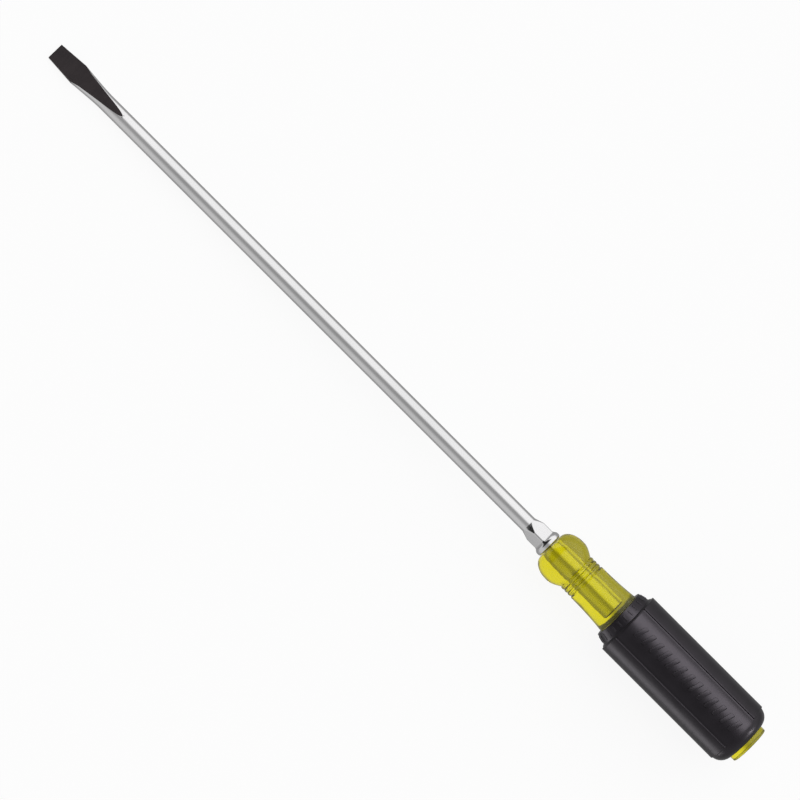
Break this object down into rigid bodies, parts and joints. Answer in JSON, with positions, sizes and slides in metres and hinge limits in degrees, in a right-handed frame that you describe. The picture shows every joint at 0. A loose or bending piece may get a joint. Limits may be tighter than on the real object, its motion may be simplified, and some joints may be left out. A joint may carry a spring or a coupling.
{
  "type": "slotted screwdriver",
  "caption": "Long slotted screwdriver with a keystone tip, round shank, square bolster and flange, and a clear yellow handle in a black cushion sleeve.",
  "frame": {"origin": "middle of the blade's end face, on the tool's axis", "axes": "+X along the tool's axis from the blade's end to the butt; +Z is square to the blade's width, so the two ground faces look up and down; +Y is across the blade's width"},
  "size_m": [0.428, 0.0313, 0.0314],
  "materials": {
    "polished_steel": "bright plated steel with fine polishing lines along the shank",
    "black_oxide": "black chemical finish on the ground tip of the blade, with faint grinding marks",
    "clear_yellow": "clear yellow cast plastic, glossy, the steel tang showing inside",
    "soft_black": "satin black soft moulding with a fine skin texture"
  },
  "bodies": {
    "root": {"blade": "polished_steel", "handle_core": "clear_yellow", "cushion_grip": "soft_black"}
  },
  "joints": []
}
